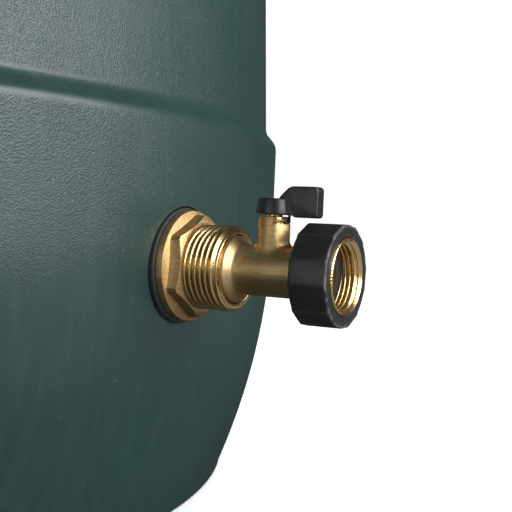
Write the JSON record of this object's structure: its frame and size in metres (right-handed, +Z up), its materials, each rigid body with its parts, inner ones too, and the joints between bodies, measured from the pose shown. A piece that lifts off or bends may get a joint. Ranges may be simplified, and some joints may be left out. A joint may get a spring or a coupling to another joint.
{
  "type": "rain barrel",
  "caption": "Rain barrel of dark green plastic with a lift-off lid, a leaf basket and a brass quarter-turn tap with a swivel hose nut.",
  "frame": {"origin": "centre of the base on the floor", "axes": "+Z up the barrel, -Y out along the tap, +X to the right when facing the tap from behind the barrel"},
  "size_m": [0.622, 0.6927, 0.888],
  "materials": {
    "green_plastic": "dark green blow-moulded polyethylene, leather grain",
    "lid_plastic": "dark green moulded polyethylene, fine grain",
    "basket_plastic": "black moulded plastic",
    "machined_brass": "turned brass, bright",
    "cast_brass": "forged brass, fine blasted surface",
    "black_rubber": "black rubber, matte",
    "seal_rubber": "black nitrile seal",
    "white_ptfe": "white low-friction plastic",
    "spring_steel": "bright steel",
    "plated_ball": "chrome plated",
    "black_plastic": "black moulded plastic, satin",
    "grip_plastic": "black moulded plastic, fine grain"
  },
  "bodies": {
    "barrel": {"barrel_body": "green_plastic", "bulkhead_body": "machined_brass", "inner_washer": "black_rubber", "outer_washer": "black_rubber", "back_nut": "cast_brass", "collar_seal": "seal_rubber", "valve_body": "cast_brass", "inlet_seat": "white_ptfe", "outlet_seat": "white_ptfe", "outlet_tail": "machined_brass", "thrust_washer": "white_ptfe", "gland_nut": "machined_brass", "snap_ring": "spring_steel", "hose_washer": "seal_rubber"},
    "lid": {"lid": "lid_plastic"},
    "leaf_basket": {"leaf_basket": "basket_plastic"},
    "lever": {"lever": "black_plastic", "lever_screw": "spring_steel", "stem": "machined_brass", "stem_seals": "seal_rubber", "valve_ball": "plated_ball"},
    "hose_nut": {"swivel_insert": "machined_brass", "swivel_grip": "grip_plastic"}
  },
  "joints": [
    {"name": "lid_lift", "type": "slide", "parent": "barrel", "child": "lid", "axis": [0, 0, 1], "range_m": [0, 0.25]},
    {"name": "basket_lift", "type": "slide", "parent": "lid", "child": "leaf_basket", "axis": [0, 0, 1], "range_m": [0, 0.12]},
    {"name": "lever_turn", "type": "hinge", "parent": "barrel", "child": "lever", "pos_m": [0, -0.35055, 0.136], "axis": [0, 0, -1], "range_deg": [0, 90]},
    {"name": "hose_nut_spin", "type": "hinge", "parent": "barrel", "child": "hose_nut", "pos_m": [0, -0.36585, 0.116], "axis": [0, -1, 0], "continuous": true}
  ]
}
